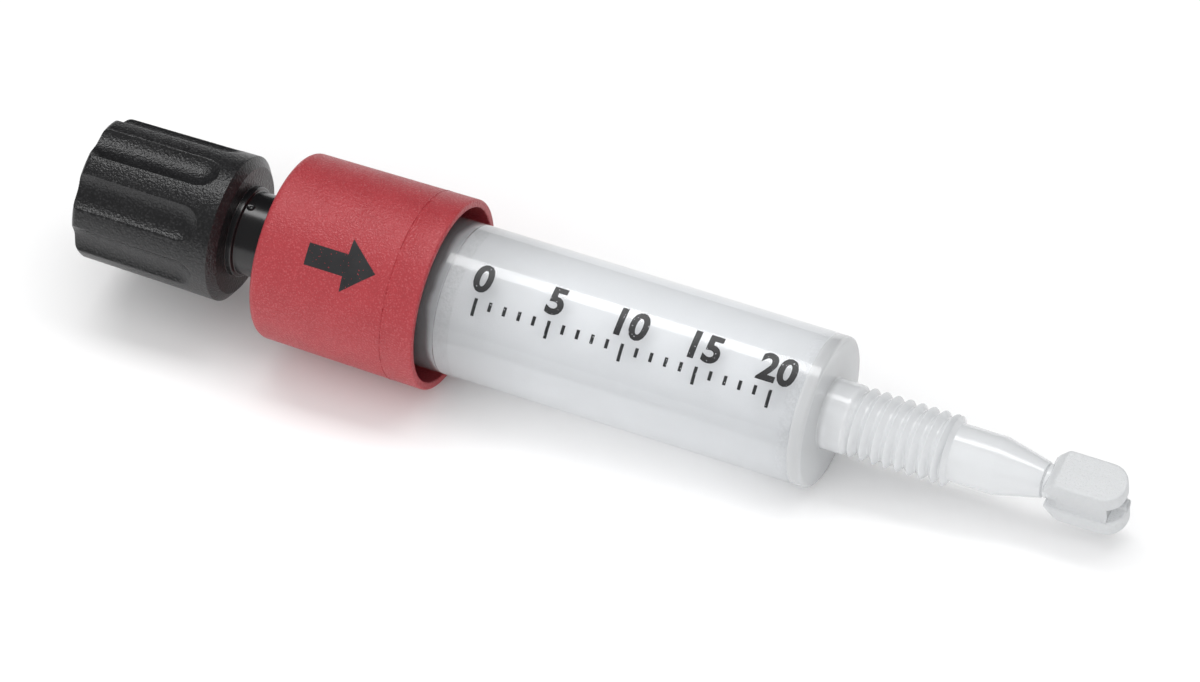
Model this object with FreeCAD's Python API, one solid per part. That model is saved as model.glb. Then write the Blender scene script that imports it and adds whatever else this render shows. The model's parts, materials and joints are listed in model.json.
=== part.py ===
import FreeCAD, Part
import math
import os

# Small prepacked chromatography column, lying on a bench. Millimetres.
# It is built along its own axis: X runs from the inlet to the outlet, X = 0 is the mouth
# of the collar, and the finished column is then laid on the bench.

# Bed and frits
bore_diameter = 7.5
bed_length = 22.4
frit_thickness = 1.0
bed_clearance = 0.02
top_frit_depth = 0.6          # how far past the collar's mouth the top frit starts

# Barrel
barrel_wall = 1.17
end_wall = 0.9
end_edge_radius = 0.25
flange_overlap = 0.63         # how far the flange stands out from the tube
flange_thickness = 1.4
flange_depth = 6.8            # from the collar's mouth to the flange
flange_edge_radius = 0.15
flange_root_swell = 0.04      # gain of the tube's radius under the collar, up to the flange
drain_cone_depth = 0.3
drain_cone_diameter = 6.0

# Outlet
outlet_diameter = 4.56
outlet_plain_length = 1.5
outlet_root_radius = 0.1
thread_pitch = 0.79375        # 32 turns an inch
thread_depth = 0.34
thread_turns = 9
thread_runout = 0.2
thread_open_share = 0.92      # width of the groove at the crests, as a share of the pitch
thread_root_share = 0.2
nozzle_diameter = 3.74
nozzle_length = 2.55
nozzle_end_radius = 0.5
cone_length = 3.05
cone_tip_diameter = 2.3
passage_diameter = 1.0

# Snap-off tab
snap_neck_diameter = 1.5
snap_neck_length = 0.2
snap_web = 0.3                # what closes the passage until the tab is broken off
boss_diameter = 2.1
boss_length = 0.5
boss_edge_radius = 0.2
tab_width = 2.81
tab_height = 3.65
tab_length = 5.1
tab_flange = 1.2
tab_web = 1.0
tab_groove_radius = 0.5
tab_web_setback = 0.5
tab_slope_length = 0.8
tab_edge_radius = 0.15
tab_inner_radius = 0.3
tab_outer_share = 0.95        # rounding of the outer end, as a share of half the width
tab_slope_share = 0.9         # where the sloped end starts, as a share of the boss
gate_diameter = 0.74
gate_length = 0.1
tab_turn_deg = 8.0            # how far the tab is turned from upright as the column lies

# Collar
collar_length = 11.5
collar_mouth_diameter = 12.58
collar_draft = 0.15           # loss of radius from the mouth to the closed end
collar_wall = 0.52
collar_end_wall = 1.6
collar_end_radius = 0.5
collar_mouth_radius = 0.3
collar_inner_radius = 0.1
collar_bead = 0.5             # how far the snap bead stands in from the collar's wall
collar_bead_length = 0.7
snap_clearance = 0.05
collar_turn_deg = -0.65       # turn about its own axis, at which its round form is the same

# Inlet adapter
adapter_flange_gap = 0.05
adapter_edge_radius = 0.1
piston_edge_radius = 0.15
piston_clearance = 0.03
boss_proud = 0.6              # how far the port stands out of the collar
port_wall = 0.45
port_depth = 6.6
port_seat_length = 1.2
port_seat_diameter = 2.2

# Stopper
stem_diameter = 4.7
stem_clearance = 0.08
stem_length = 5.2
stem_tip_length = 1.1
stem_tip_diameter = 2.4
stem_edge_radius = 0.1
neck_diameter = 5.48
neck_ring_diameter = 6.0
neck_ring_length = 0.45
neck_ring_radius = 0.15
neck_root_radius = 0.1
neck_gap = 2.55               # from the port's face to the face of the knob
knob_length = 10.15
knob_rim_diameter = 9.65
knob_end_diameter = 9.4
knob_end_radius = 0.4
knob_chamfer = 0.61
knob_chamfer_length = 0.45
knob_chamfer_radius = 0.06
flute_count = 8
flute_width = 2.35
flute_radius = 2.0
flute_land = 1.6              # from the end of the flutes to the face of the knob
flute_turn_deg = -7.2         # turn of the first flute from straight up

AXIS = FreeCAD.Vector(1, 0, 0)
ORIGIN = FreeCAD.Vector(0, 0, 0)

# Stations along the axis, worked out from the sizes above
bore_radius = bore_diameter / 2
barrel_radius = bore_radius + barrel_wall
bed_start = top_frit_depth + frit_thickness
bed_end = bed_start + bed_length
bore_end = bed_end + frit_thickness
shoulder = bore_end + end_wall
barrel_inlet = -flange_depth - flange_thickness
flange_radius = barrel_radius + flange_overlap
outlet_radius = outlet_diameter / 2
thread_start = shoulder + outlet_plain_length
thread_end = thread_start + thread_pitch * thread_turns + thread_runout
nozzle_end = thread_end + nozzle_length
cone_end = nozzle_end + cone_length
boss_start = cone_end + snap_neck_length
tab_start = boss_start + boss_length
tab_end = tab_start + tab_length
collar_mouth_bore = collar_mouth_diameter / 2 - collar_wall
port_radius = stem_diameter / 2 + stem_clearance
port_boss_radius = port_radius + port_wall
port_face = -collar_length - boss_proud
knob_face = port_face - neck_gap
knob_end = knob_face - knob_length


def outline_edges(corners, place):
    """Edges of a closed outline of (across, up, fillet) corners, set in space by place."""
    edges = []
    count = len(corners)
    ends = []
    for index, (along, up, fillet) in enumerate(corners):
        corner = FreeCAD.Vector(along, up, 0)
        if fillet == 0:
            ends.append((corner, corner, None))
            continue
        before = FreeCAD.Vector(*corners[index - 1][:2], 0) - corner
        after = FreeCAD.Vector(*corners[(index + 1) % count][:2], 0) - corner
        before.normalize()
        after.normalize()
        half_angle = before.getAngle(after) / 2
        reach = fillet / math.tan(half_angle)
        inward = before + after
        inward.normalize()
        middle = corner + inward * (fillet / math.sin(half_angle) - fillet)
        ends.append((corner + before * reach, corner + after * reach, middle))
    for index, (start, end, middle) in enumerate(ends):
        following = ends[(index + 1) % count][0]
        if middle is not None:
            edges.append(Part.Arc(place(start), place(middle), place(end)).toShape())
        if (following - end).Length > 1e-6:
            edges.append(Part.LineSegment(place(end), place(following)).toShape())
    return edges


def turned(corners):
    """Solid turned about the column's axis from a closed outline of (x, radius, fillet) corners."""
    face = Part.Face(Part.Wire(outline_edges(corners, lambda point: point)))
    return face.revolve(ORIGIN, AXIS, 360)


def plate(corners, thickness):
    """Outline of (x, y, fillet) corners, extruded evenly to both sides along Z."""
    below = FreeCAD.Vector(0, 0, -thickness / 2)
    face = Part.Face(Part.Wire(outline_edges(corners, lambda point: point + below)))
    return face.extrude(FreeCAD.Vector(0, 0, thickness))


def rod(start, end, radius):
    return Part.makeCylinder(radius, end - start, FreeCAD.Vector(start, 0, 0), AXIS)


def make_barrel_body():
    """Flanged tube with its end wall, outlet, nozzle and the boss of the snap-off tab."""
    tip_radius = cone_tip_diameter / 2
    boss_radius = boss_diameter / 2
    neck_radius = snap_neck_diameter / 2
    nozzle_radius = nozzle_diameter / 2
    return turned([
        (barrel_inlet, 0, 0),
        (barrel_inlet, flange_radius, flange_edge_radius),
        (-flange_depth, flange_radius, flange_edge_radius),
        (-flange_depth, barrel_radius + flange_root_swell, 0),
        (0, barrel_radius, 0),
        (shoulder, barrel_radius, end_edge_radius),
        (shoulder, outlet_radius, outlet_root_radius),
        (thread_end, outlet_radius, outlet_root_radius),
        (thread_end + (outlet_radius - nozzle_radius) / 2, nozzle_radius, 0),
        (nozzle_end, nozzle_radius, nozzle_end_radius),
        (cone_end, tip_radius, 0),
        (cone_end, neck_radius, 0),
        (boss_start, neck_radius, 0),
        (boss_start, boss_radius, boss_edge_radius),
        (tab_start + tab_slope_length, boss_radius, 0),
        (tab_start + tab_slope_length, 0, 0),
    ])


def make_barrel_bore():
    """Bore for the bed, shallow drain cone and the passage that stops short of the snap neck."""
    passage_radius = passage_diameter / 2
    return turned([
        (barrel_inlet, 0, 0),
        (barrel_inlet, bore_radius, 0),
        (bore_end, bore_radius, 0),
        (bore_end, drain_cone_diameter / 2, 0),
        (bore_end + drain_cone_depth, passage_radius, 0),
        (cone_end - snap_web, passage_radius, 0),
        (cone_end - snap_web, 0, 0),
    ])


def make_thread_groove():
    """Helical groove between the crests of the outlet's thread."""
    start = thread_start + thread_pitch / 2
    length = thread_pitch * (thread_turns - 1)
    crest_radius = outlet_radius + 0.05
    half_width = thread_pitch * thread_open_share / 2
    root_half_width = thread_pitch * thread_root_share / 2
    root_radius = outlet_radius - thread_depth
    helix = Part.makeHelix(thread_pitch, length, outlet_radius)
    profile = Part.makePolygon([
        FreeCAD.Vector(crest_radius, 0, -half_width),
        FreeCAD.Vector(root_radius, 0, -root_half_width),
        FreeCAD.Vector(root_radius, 0, root_half_width),
        FreeCAD.Vector(crest_radius, 0, half_width),
        FreeCAD.Vector(crest_radius, 0, -half_width),
    ])
    groove = Part.Wire(helix).makePipeShell([profile], True, True)
    groove.rotate(ORIGIN, FreeCAD.Vector(0, 1, 0), 90)
    groove.translate(FreeCAD.Vector(start, 0, 0))
    return groove


def make_tab():
    """Snap-off tab: two rounded flanges on a web, a sloped inner end and the mark of its gate."""
    half_width = tab_width / 2
    half_height = tab_height / 2
    half_web = tab_web / 2
    shelf = half_height - tab_flange
    section = Part.Face(Part.Wire(outline_edges([
        (-half_width, -half_height, tab_edge_radius),
        (half_width, -half_height, tab_edge_radius),
        (half_width, -shelf, tab_edge_radius),
        (half_web, -shelf, tab_groove_radius),
        (half_web, shelf, tab_groove_radius),
        (half_width, shelf, tab_edge_radius),
        (half_width, half_height, tab_edge_radius),
        (-half_width, half_height, tab_edge_radius),
        (-half_width, shelf, tab_edge_radius),
        (-half_web, shelf, tab_groove_radius),
        (-half_web, -shelf, tab_groove_radius),
        (-half_width, -shelf, tab_edge_radius),
    ], lambda point: FreeCAD.Vector(tab_start, point.x, point.y))))
    girder = section.extrude(FreeCAD.Vector(tab_length, 0, 0))
    corner = half_width * tab_outer_share
    plan = plate([
        (tab_start, -half_width, tab_inner_radius),
        (tab_end, -half_width, corner),
        (tab_end, half_width, corner),
        (tab_start, half_width, tab_inner_radius),
    ], tab_height * 2)
    slope_start = boss_diameter / 2 * tab_slope_share
    side = plate([
        (tab_start, -slope_start, 0),
        (tab_start + tab_slope_length, -half_height, tab_inner_radius),
        (tab_end, -half_height, tab_edge_radius),
        (tab_end, half_height, tab_edge_radius),
        (tab_start + tab_slope_length, half_height, tab_inner_radius),
        (tab_start, slope_start, 0),
    ], tab_width * 2)
    side.rotate(ORIGIN, AXIS, 90)
    tab = girder.common(plan).common(side)
    between = Part.makeBox(tab_web_setback, tab_width, shelf * 2)
    between.translate(FreeCAD.Vector(tab_end - tab_web_setback, -half_width, -shelf))
    tab = tab.cut(between)
    gate_start = tab_end - tab_web_setback - tab_web / 2
    return tab.fuse(rod(gate_start, tab_end + gate_length, gate_diameter / 2))


def make_barrel():
    tab = make_tab()
    tab.rotate(ORIGIN, AXIS, tab_turn_deg)
    body = make_barrel_body().fuse(tab)
    return body.cut(make_barrel_bore()).cut(make_thread_groove())


def make_collar():
    """Clip-on collar: drafted cup with a hole for the port and a bead behind the barrel's flange."""
    mouth_radius = collar_mouth_diameter / 2
    end_radius = mouth_radius - collar_draft
    inner_end = -collar_length + collar_end_wall
    inner_end_radius = flange_radius + snap_clearance
    bead_start = -flange_depth + snap_clearance
    bead_radius = inner_end_radius - collar_bead
    bead_end = bead_start + collar_bead_length
    collar = turned([
        (-collar_length, port_boss_radius + snap_clearance, 0),
        (-collar_length, end_radius, collar_end_radius),
        (0, mouth_radius, collar_mouth_radius),
        (0, collar_mouth_bore, collar_inner_radius),
        (bead_end + collar_bead, collar_mouth_bore, 0),
        (bead_end, bead_radius, collar_inner_radius),
        (bead_start, bead_radius, 0),
        (bead_start, inner_end_radius, 0),
        (inner_end, inner_end_radius, collar_inner_radius),
        (inner_end, port_boss_radius + snap_clearance, 0),
    ])
    collar.rotate(ORIGIN, AXIS, collar_turn_deg)
    return collar


def make_inlet_adapter():
    """Adapter: port boss, flange clamped between collar and barrel, and the piston above the bed."""
    flange_back = -collar_length + collar_end_wall + adapter_flange_gap
    flange_front = barrel_inlet - adapter_flange_gap
    piston_radius = bore_radius - piston_clearance
    seat_end = port_face + port_depth + port_seat_length
    seat_radius = port_seat_diameter / 2
    passage_radius = passage_diameter / 2
    return turned([
        (port_face, port_radius, 0),
        (port_face, port_boss_radius, adapter_edge_radius),
        (flange_back, port_boss_radius, 0),
        (flange_back, flange_radius, adapter_edge_radius),
        (flange_front, flange_radius, adapter_edge_radius),
        (flange_front, piston_radius, 0),
        (top_frit_depth, piston_radius, piston_edge_radius),
        (top_frit_depth, drain_cone_diameter / 2, 0),
        (top_frit_depth - drain_cone_depth, passage_radius, 0),
        (seat_end, passage_radius, 0),
        (seat_end, seat_radius, 0),
        (port_face + port_depth, port_radius, 0),
    ])


def make_flute_cutter(turn):
    """Round-nosed cutter for one flute, run in from the end of the knob."""
    rim_radius = knob_rim_diameter / 2
    half_chord = flute_width / 2
    reach = math.sqrt(rim_radius ** 2 - half_chord ** 2) + math.sqrt(flute_radius ** 2 - half_chord ** 2)
    nose = knob_face - flute_land - half_chord
    taper = (knob_rim_diameter - knob_end_diameter) / 2
    back = FreeCAD.Vector(knob_end - flute_radius, 0, reach - taper)
    front = FreeCAD.Vector(nose, 0, reach)
    run = front - back
    cutter = Part.makeCylinder(flute_radius, run.Length, back, run)
    cutter = cutter.fuse(Part.makeSphere(flute_radius, front))
    cutter.rotate(ORIGIN, AXIS, turn)
    return cutter


def make_stopper():
    """Fluted finger knob with its neck and the stem that fills the inlet port."""
    rim_radius = knob_rim_diameter / 2
    neck_radius = neck_diameter / 2
    stem_radius = stem_diameter / 2
    stem_tip = port_face + stem_length + stem_tip_length
    body = turned([
        (knob_end, 0, 0),
        (knob_end, knob_end_diameter / 2, knob_end_radius),
        (knob_face - knob_chamfer_length, rim_radius, knob_chamfer_radius),
        (knob_face, rim_radius - knob_chamfer, knob_chamfer_radius),
        (knob_face, neck_ring_diameter / 2, 0),
        (knob_face + neck_ring_length, neck_ring_diameter / 2, neck_ring_radius),
        (knob_face + neck_ring_length, neck_radius, neck_root_radius),
        (port_face, neck_radius, 0),
        (port_face, stem_radius, 0),
        (port_face + stem_length, stem_radius, stem_edge_radius),
        (stem_tip, stem_tip_diameter / 2, 0),
        (stem_tip, 0, 0),
    ])
    step = 360 / flute_count
    cutters = [make_flute_cutter(flute_turn_deg + step * index) for index in range(flute_count)]
    return body.cut(cutters)


def make_disc(start, length, clearance):
    return rod(start, start + length, bore_radius - clearance)


def lying_tilt():
    """Angle in radians at which the collar's mouth and the end wall's edge both touch the bench."""
    mouth_arc_radius = collar_mouth_diameter / 2 - collar_mouth_radius
    end_arc_radius = barrel_radius - end_edge_radius
    run = shoulder - end_edge_radius + collar_mouth_radius
    rise = mouth_arc_radius - end_arc_radius
    excess = collar_mouth_radius - end_edge_radius
    return math.atan2(rise, run) + math.asin(excess / math.hypot(run, rise))


def lying_placement(shapes):
    """Placement that lays the column on the bench, with the middle of its length over the origin."""
    lean = FreeCAD.Rotation(FreeCAD.Vector(0, 1, 0), math.degrees(lying_tilt()))
    column = Part.makeCompound(list(shapes))
    column.Placement = FreeCAD.Placement(ORIGIN, lean)
    box = column.optimalBoundingBox()
    return FreeCAD.Placement(FreeCAD.Vector(-box.Center.x, 0, -box.ZMin), lean)


def make_parts():
    return {
        "barrel": make_barrel(),
        "collar": make_collar(),
        "inlet_adapter": make_inlet_adapter(),
        "stopper": make_stopper(),
        "top_frit": make_disc(top_frit_depth, frit_thickness, bed_clearance),
        "resin_bed": make_disc(bed_start, bed_length, bed_clearance),
        "bottom_frit": make_disc(bed_end, frit_thickness, bed_clearance),
    }


def main():
    os.makedirs("parts", exist_ok=True)
    parts = make_parts()
    laid = lying_placement(parts.values())
    for name, shape in parts.items():
        shape.Placement = laid.multiply(shape.Placement)
        shape.exportStep("parts/" + name + ".step")
        print(name, len(shape.Solids), shape.isValid(), round(shape.Volume, 2))


main()
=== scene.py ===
"""Prepacked chromatography column, lying on a pale bench.

Every piece is built in the column's own frame: X runs along its axis from the stopper to the
outlet, and X = 0 is the mouth of the collar. Sizes are in metres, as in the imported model.
"""

import json
import math

import bmesh
import bpy
from mathutils import Matrix, Vector


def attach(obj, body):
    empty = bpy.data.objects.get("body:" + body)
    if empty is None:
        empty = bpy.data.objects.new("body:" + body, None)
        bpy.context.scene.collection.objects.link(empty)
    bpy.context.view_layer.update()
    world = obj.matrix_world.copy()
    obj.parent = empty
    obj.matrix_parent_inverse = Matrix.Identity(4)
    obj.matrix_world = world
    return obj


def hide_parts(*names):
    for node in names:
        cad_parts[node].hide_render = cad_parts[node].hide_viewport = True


bl_info = {
    "name": "Prepacked chromatography column",
    "version": (1, 0, 0),
    "blender": (4, 5, 0),
    "location": "3D View > Sidebar > Column",
    "description": "Builds the pieces, finishes and stage of a small prepacked column",
    "category": "Object",
}

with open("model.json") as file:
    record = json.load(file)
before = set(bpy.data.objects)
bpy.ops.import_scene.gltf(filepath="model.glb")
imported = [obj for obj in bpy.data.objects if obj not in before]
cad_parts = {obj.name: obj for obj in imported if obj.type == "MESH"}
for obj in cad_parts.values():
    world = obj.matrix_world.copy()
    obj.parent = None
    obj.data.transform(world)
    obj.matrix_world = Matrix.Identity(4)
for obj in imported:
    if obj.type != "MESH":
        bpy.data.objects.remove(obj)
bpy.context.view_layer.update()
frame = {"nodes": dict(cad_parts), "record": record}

MM = 0.001
TURN = 2 * math.pi
FLUTE_TURN = 4.1  # degrees from the top to the nearest flute
NECK_FACE = -14.62 * MM  # where the knob's grain gives way to the smooth neck
SECOND_FINISH = 25.05 * MM  # where the finish of the barrel's thick end begins
END_WALL = (0.0258, 0.0264)  # where the thick end's tone changes, in metres
TAB_GRAIN = (0.0404, 0.0412)  # where the tab's grain sets in and where it is full, in metres


# Where the column lies

def column_placement():
    """Matrix from the column's own frame to the bench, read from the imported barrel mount."""
    mount = next(m for m in frame["record"]["mounts"] if m["name"] == "barrel_body")
    along = Vector(mount["axis"]).normalized()
    across = Vector((0.0, 1.0, 0.0))
    up = along.cross(across).normalized()
    middle = bpy.context.scene.column_sizes.mount_middle
    mouth = Vector(mount["pos_m"]) - along * middle
    turned = Matrix((along, across, up)).transposed().to_4x4()
    return Matrix.Translation(mouth) @ turned


def length_property(name, text, millimetres):
    """A size that a user may change, given here in millimetres."""
    return bpy.props.FloatProperty(
        name=name, description=text, default=millimetres * MM,
        subtype="DISTANCE", unit="LENGTH", precision=5,
    )


def colour_property(name, text, colour):
    return bpy.props.FloatVectorProperty(
        name=name, description=text, default=colour, subtype="COLOR", size=3, min=0.0, max=1.0,
    )


class ColumnSizes(bpy.types.PropertyGroup):
    """Sizes of the column's pieces"""

    mount_middle: length_property(
        "Mount middle", "From the collar's mouth to the middle of the bare barrel", 12.825,
    )
    bore: length_property("Bore radius", "Inside radius of the barrel", 3.75)
    barrel: length_property("Barrel radius", "Outside radius of the barrel", 4.92)
    shoulder: length_property("Shoulder", "From the collar's mouth to the barrel's end face", 25.9)
    shoulder_edge: length_property("Shoulder edge", "Rounding of the barrel's end edge", 0.25)
    outlet: length_property("Outlet radius", "Outside radius of the outlet and its thread", 2.28)
    thread_pitch: length_property("Thread pitch", "Distance from crest to crest", 0.79375)
    thread_depth: length_property("Thread depth", "From crest to root", 0.34)
    collar: length_property("Collar radius", "Outside radius at the collar's mouth", 6.29)
    collar_length: length_property("Collar length", "From its mouth to its closed end", 11.5)
    collar_wall: length_property("Collar wall", "Thickness of the wall at the mouth", 0.52)
    neck: length_property("Neck radius", "Radius of the stopper's neck", 2.74)
    knob_rim: length_property("Knob rim radius", "Radius of the knob near its face", 4.825)
    knob_end: length_property("Knob end radius", "Radius of the knob at its end", 4.7)
    flute_radius: length_property("Flute radius", "Radius of the knob's finger flutes", 2.0)
    flute_width: length_property("Flute width", "Width of a finger flute", 2.35)


class ColumnColours(bpy.types.PropertyGroup):
    """Colours of the column's finishes"""

    barrel: colour_property("Barrel", "Milky moulding of the barrel and outlet", (0.825, 0.84, 0.855))
    collar: colour_property("Collar", "Red moulding of the collar", (0.37, 0.028, 0.037))
    stopper: colour_property("Stopper", "Black moulding of the stopper", (0.0045, 0.0045, 0.005))
    adapter: colour_property("Adapter", "Dark moulding of the inlet adapter", (0.012, 0.012, 0.014))
    bed: colour_property("Packed bed", "Beads of the packed bed", (0.88, 0.89, 0.905))
    frit: colour_property("Frit", "Sintered discs", (0.90, 0.91, 0.925))
    ink: colour_property("Ink", "Printed scale and arrow", (0.014, 0.014, 0.016))
    bench: colour_property("Bench", "Pale bench under the column", (0.92, 0.92, 0.922))


class ColumnStage(bpy.types.PropertyGroup):
    """Camera and light"""

    camera_distance: length_property("Camera distance", "From the camera to the column", 450.0)
    aim: length_property("Aim", "Point on the axis at the middle of the picture", 10.2)
    toward: bpy.props.FloatProperty(
        name="Toward the camera", description="How far the outlet end comes towards the camera",
        default=math.radians(17.3), subtype="ANGLE", unit="ROTATION",
    )
    above: bpy.props.FloatProperty(
        name="Above the bench", description="Height of the camera round the column's axis",
        default=math.radians(50.0), subtype="ANGLE", unit="ROTATION",
    )
    slant: bpy.props.FloatProperty(
        name="Slant", description="Slant of the column in the picture",
        default=math.radians(17.3), subtype="ANGLE", unit="ROTATION",
    )
    lens: bpy.props.FloatProperty(
        name="Lens", description="Focal length on a 36 mm sensor, in millimetres", default=214.9,
    )
    softbox_power: bpy.props.FloatProperty(
        name="Softbox power", description="Power of the overhead softbox", default=1.55, unit="POWER",
    )
    softbox_face: bpy.props.FloatProperty(
        name="Softbox face", description="Brightness of the softbox as it shows in glossy pieces",
        default=5.8, min=0.0,
    )
    room_light: bpy.props.FloatProperty(
        name="Room light", description="Strength of the light from all round", default=1.2, min=0.0,
    )
    room_back: bpy.props.FloatProperty(
        name="Room behind", description="Strength of the room light low behind the column",
        default=0.2, min=0.0,
    )
    room_mirrored: bpy.props.FloatProperty(
        name="Room in reflections", description="Share of the room light that glossy pieces reflect",
        default=0.15, min=0.0, max=1.0,
    )


# Meshes turned about the axis

def rounded(corners, steps=7):
    """Points of an open outline of (x, radius, rounding) corners, with each rounding divided."""
    points = []
    last = len(corners) - 1
    for index, (x, radius, rounding) in enumerate(corners):
        corner = Vector((x, radius))
        if rounding == 0 or index in (0, last):
            points.append(corner)
            continue
        before = (Vector(corners[index - 1][:2]) - corner).normalized()
        after = (Vector(corners[index + 1][:2]) - corner).normalized()
        half = before.angle(after) / 2
        reach = rounding / math.tan(half)
        centre = corner + (before + after).normalized() * (rounding / math.sin(half))
        first = corner + before * reach - centre
        final = corner + after * reach - centre
        sweep = first.angle_signed(final)
        for step in range(steps + 1):
            share = sweep * step / steps
            turned = Matrix.Rotation(-share, 2) @ first
            points.append(centre + turned)
    return [(p.x, max(p.y, 0.0)) for p in points]


def divided(points, start, end, spacing):
    """The same outline with its straight runs from x = start to x = end cut into short pieces."""
    out = [points[0]]
    for (x0, r0), (x1, r1) in zip(points, points[1:]):
        low, high = max(min(x0, x1), start), min(max(x0, x1), end)
        if high - low > spacing and abs(x1 - x0) > 1e-9:
            count = int(math.ceil((high - low) / spacing))
            cuts = [low + (high - low) * step / count for step in range(count + 1)]
            if x1 < x0:
                cuts.reverse()
            for x in cuts:
                share = (x - x0) / (x1 - x0)
                if 1e-6 < share < 1 - 1e-6:
                    out.append((x, r0 + (r1 - r0) * share))
        out.append((x1, r1))
    return out


def turned_mesh(bm, outline, angles, radius_at=None):
    """Adds an outline of (x, radius) points turned about X.

    The outline starts and ends on the axis, or closes on itself.
    """
    closed = outline[0][1] > 1e-7
    rings = []
    for x, radius in outline:
        if radius < 1e-7:
            rings.append([bm.verts.new((x, 0.0, 0.0))])
            continue
        ring = []
        for angle in angles:
            r = radius_at(x, radius, angle) if radius_at else radius
            ring.append(bm.verts.new((x, -r * math.sin(angle), r * math.cos(angle))))
        rings.append(ring)
    pairs = list(zip(rings, rings[1:]))
    if closed:
        pairs.append((rings[-1], rings[0]))
    count = len(angles)
    for first, second in pairs:
        for index in range(count):
            after = (index + 1) % count
            if len(first) == 1 and len(second) == 1:
                continue
            if len(first) == 1:
                bm.faces.new((first[0], second[after], second[index]))
            elif len(second) == 1:
                bm.faces.new((first[index], first[after], second[0]))
            else:
                bm.faces.new((first[index], first[after], second[after], second[index]))


def even_angles(count):
    return [TURN * index / count for index in range(count)]


def quarter_turn(steps):
    """Angles in radians from 0 to 90 degrees."""
    return [math.radians(90 * step / steps) for step in range(steps + 1)]


def turn_mesh(bm, degrees, axis):
    turn = Matrix.Rotation(math.radians(degrees), 3, axis)
    bmesh.ops.rotate(bm, verts=bm.verts, cent=(0, 0, 0), matrix=turn)


def object_from(bm, name):
    """Makes a bmesh into an object of the scene."""
    mesh = bpy.data.meshes.new(name)
    bm.to_mesh(mesh)
    bm.free()
    made = bpy.data.objects.new(name, mesh)
    bpy.context.scene.collection.objects.link(made)
    return made


def piece_from(bm, name, material, body, sharp=40.0):
    """Turns a bmesh in the column's frame into a smooth-shaded piece that rides on a body."""
    bmesh.ops.recalc_face_normals(bm, faces=bm.faces)
    piece = object_from(bm, name)
    mesh = piece.data
    mesh.materials.append(material)
    mesh.shade_smooth()
    mesh.set_sharp_from_angle(angle=math.radians(sharp))
    piece.matrix_world = column_placement()
    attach(piece, body)
    return piece


def even_shading(piece):
    """Lets the large faces set the normals, so that roundings meet flats cleanly."""
    weigh = piece.modifiers.new("Even shading", "WEIGHTED_NORMAL")
    weigh.keep_sharp = True
    weigh.weight = 60


# Node helpers

def add_node(tree, kind, place, **values):
    node = tree.nodes.new(kind)
    node.location = place
    for name, value in values.items():
        setattr(node, name, value)
    return node


def set_inputs(node, **values):
    for name, value in values.items():
        node.inputs[name.replace("_", " ")].default_value = value


def math_node(tree, operation, first, second=None, place=(0, 0), third=None):
    """A Math node whose inputs may be sockets or numbers."""
    node = add_node(tree, "ShaderNodeMath", place, operation=operation)
    for index, value in enumerate((first, second, third)):
        if value is None:
            continue
        if isinstance(value, (int, float)):
            node.inputs[index].default_value = value
        else:
            tree.links.new(value, node.inputs[index])
    return node.outputs[0]


def mix_colours(tree, factor, first, second, place=(0, 0)):
    node = add_node(tree, "ShaderNodeMix", place, data_type="RGBA")
    for index, value in ((0, factor), (6, first), (7, second)):
        if isinstance(value, bpy.types.NodeSocket):
            tree.links.new(value, node.inputs[index])
        elif isinstance(value, (int, float)):
            node.inputs[index].default_value = value
        else:
            node.inputs[index].default_value = (*value[:3], 1.0)
    return node.outputs[2]


def shade_of(colour, share, lift=0.0):
    """A colour made darker or lighter, then lifted by an even amount."""
    return tuple(min(c * share + lift, 1.0) for c in colour)


def ramp(tree, value, start, end, place, easing="LINEAR"):
    """Goes from 0 where the value is start to 1 where it is end."""
    node = add_node(tree, "ShaderNodeMapRange", place, interpolation_type=easing)
    set_inputs(node, From_Min=start, From_Max=end)
    tree.links.new(value, node.inputs["Value"])
    return node.outputs["Result"]


def distance_along(tree, vector, place):
    """The X of a point."""
    parts = add_node(tree, "ShaderNodeSeparateXYZ", place)
    tree.links.new(vector, parts.inputs["Vector"])
    return parts.outputs["X"]


def let_light_through(tree, shader, share):
    """Makes a piece's shadow paler, by the share of the light that passes."""
    light_path = add_node(tree, "ShaderNodeLightPath", (-600, -600))
    shadow = math_node(tree, "MULTIPLY", light_path.outputs["Is Shadow Ray"], share, (-400, -600))
    tree.links.new(math_node(tree, "SUBTRACT", 1.0, shadow, (-200, -600)), shader.inputs["Alpha"])


def group_socket(tree, name, kind, is_input, value=None):
    socket = tree.interface.new_socket(
        name=name, in_out="INPUT" if is_input else "OUTPUT", socket_type=kind,
    )
    if value is not None:
        socket.default_value = value


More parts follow.
